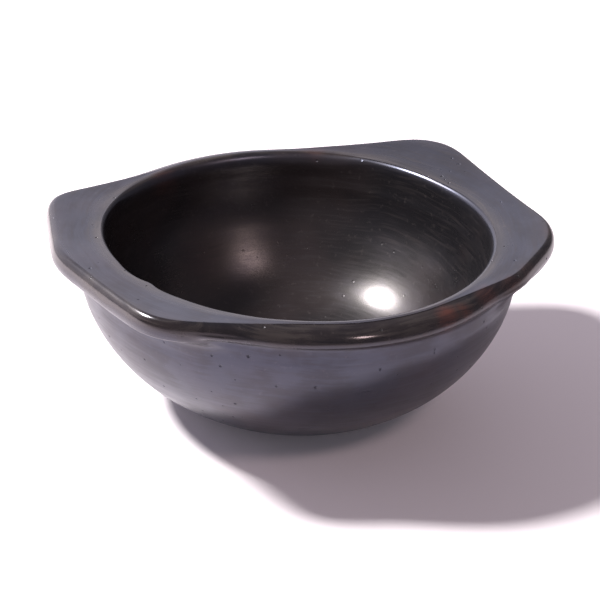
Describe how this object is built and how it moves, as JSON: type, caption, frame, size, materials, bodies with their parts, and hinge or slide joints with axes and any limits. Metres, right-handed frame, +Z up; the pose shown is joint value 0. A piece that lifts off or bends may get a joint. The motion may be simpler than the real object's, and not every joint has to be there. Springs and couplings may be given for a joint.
{
  "type": "lugged clay bowl",
  "caption": "Round-bottomed burnished black clay bowl with a wide mouth, a thick soft lip, a flat foot and a flat trapezoid lug on each side.",
  "frame": {"origin": "centre of the flat foot, on the plane the bowl rests on", "axes": "+Z up through the mouth, +X out along the middle of the right lug, +Y along the lugless side"},
  "size_m": [0.1874, 0.1696, 0.073],
  "materials": {
    "burnished_clay": "burnished satin black, fired in smoke"
  },
  "bodies": {
    "root": {"base_pad": "burnished_clay", "lower_wall": "burnished_clay", "middle_wall": "burnished_clay", "upper_wall": "burnished_clay", "lip_coil": "burnished_clay", "left_lug": "burnished_clay", "right_lug": "burnished_clay", "left_lug_roll": "burnished_clay", "right_lug_roll": "burnished_clay"}
  },
  "joints": []
}
